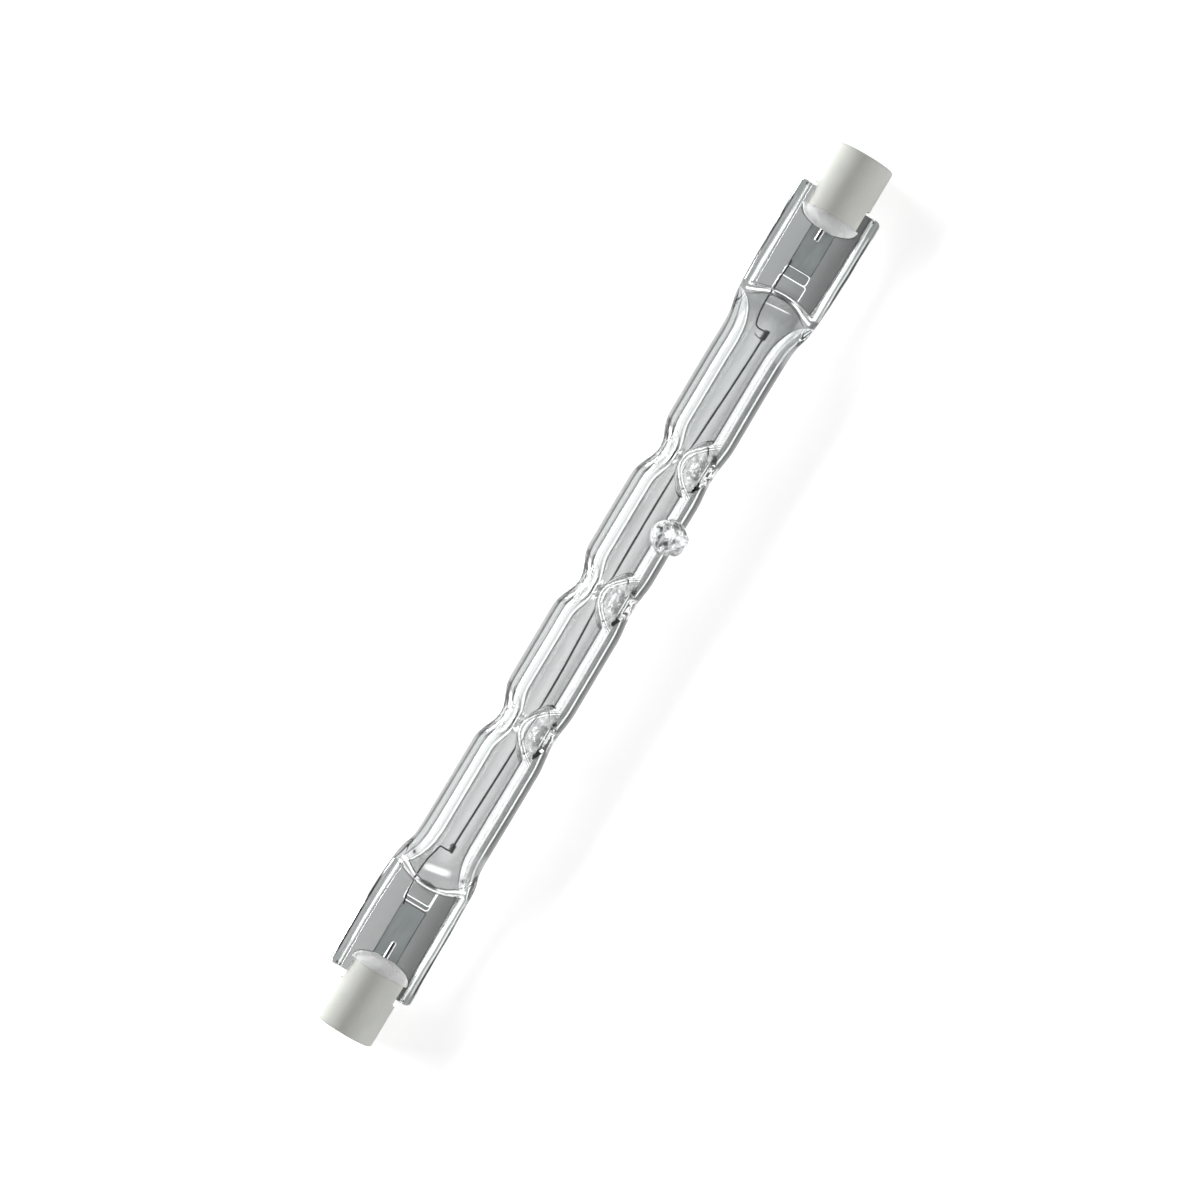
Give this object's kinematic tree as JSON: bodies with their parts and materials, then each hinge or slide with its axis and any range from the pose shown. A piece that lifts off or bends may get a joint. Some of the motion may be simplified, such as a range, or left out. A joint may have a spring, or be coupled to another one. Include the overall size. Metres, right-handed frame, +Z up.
{
  "type": "halogen bulb",
  "caption": "Double-ended linear halogen lamp: dimpled quartz tube with flat sealed ends, coiled filament, ceramic end caps with recessed contacts.",
  "frame": {"origin": "on the tube's axis at half the overall length, which is within 0.6 mm of the centre of mass", "axes": "+X along the tube towards the end nearest the filling stub, +Z up as the lamp lies at rest on its tube and on the lower edge of its flat seals"},
  "size_m": [0.1176, 0.013, 0.0089],
  "materials": {
    "quartz": "clear fused quartz",
    "cap_ceramic": "unglazed, smooth, matte",
    "cement": "dull, slightly lumpy",
    "contact_metal": "satin",
    "lead_wire": "drawn wire, satin",
    "foil": "thin rolled foil, grey",
    "coil_wire": "dark drawn wire, coiled"
  },
  "bodies": {
    "root": {"glass_envelope": "quartz", "ceramic_cap_left": "cap_ceramic", "ceramic_cap_right": "cap_ceramic", "cap_cement_left": "cement", "cap_cement_right": "cement", "contact_button_left": "contact_metal", "contact_button_right": "contact_metal", "outer_lead_left": "lead_wire", "outer_lead_right": "lead_wire", "sealing_foil_left": "foil", "sealing_foil_right": "foil", "inner_lead_left": "coil_wire", "inner_lead_right": "coil_wire", "filament_sleeve_left": "coil_wire", "filament_sleeve_right": "coil_wire", "filament": "coil_wire"}
  },
  "joints": []
}
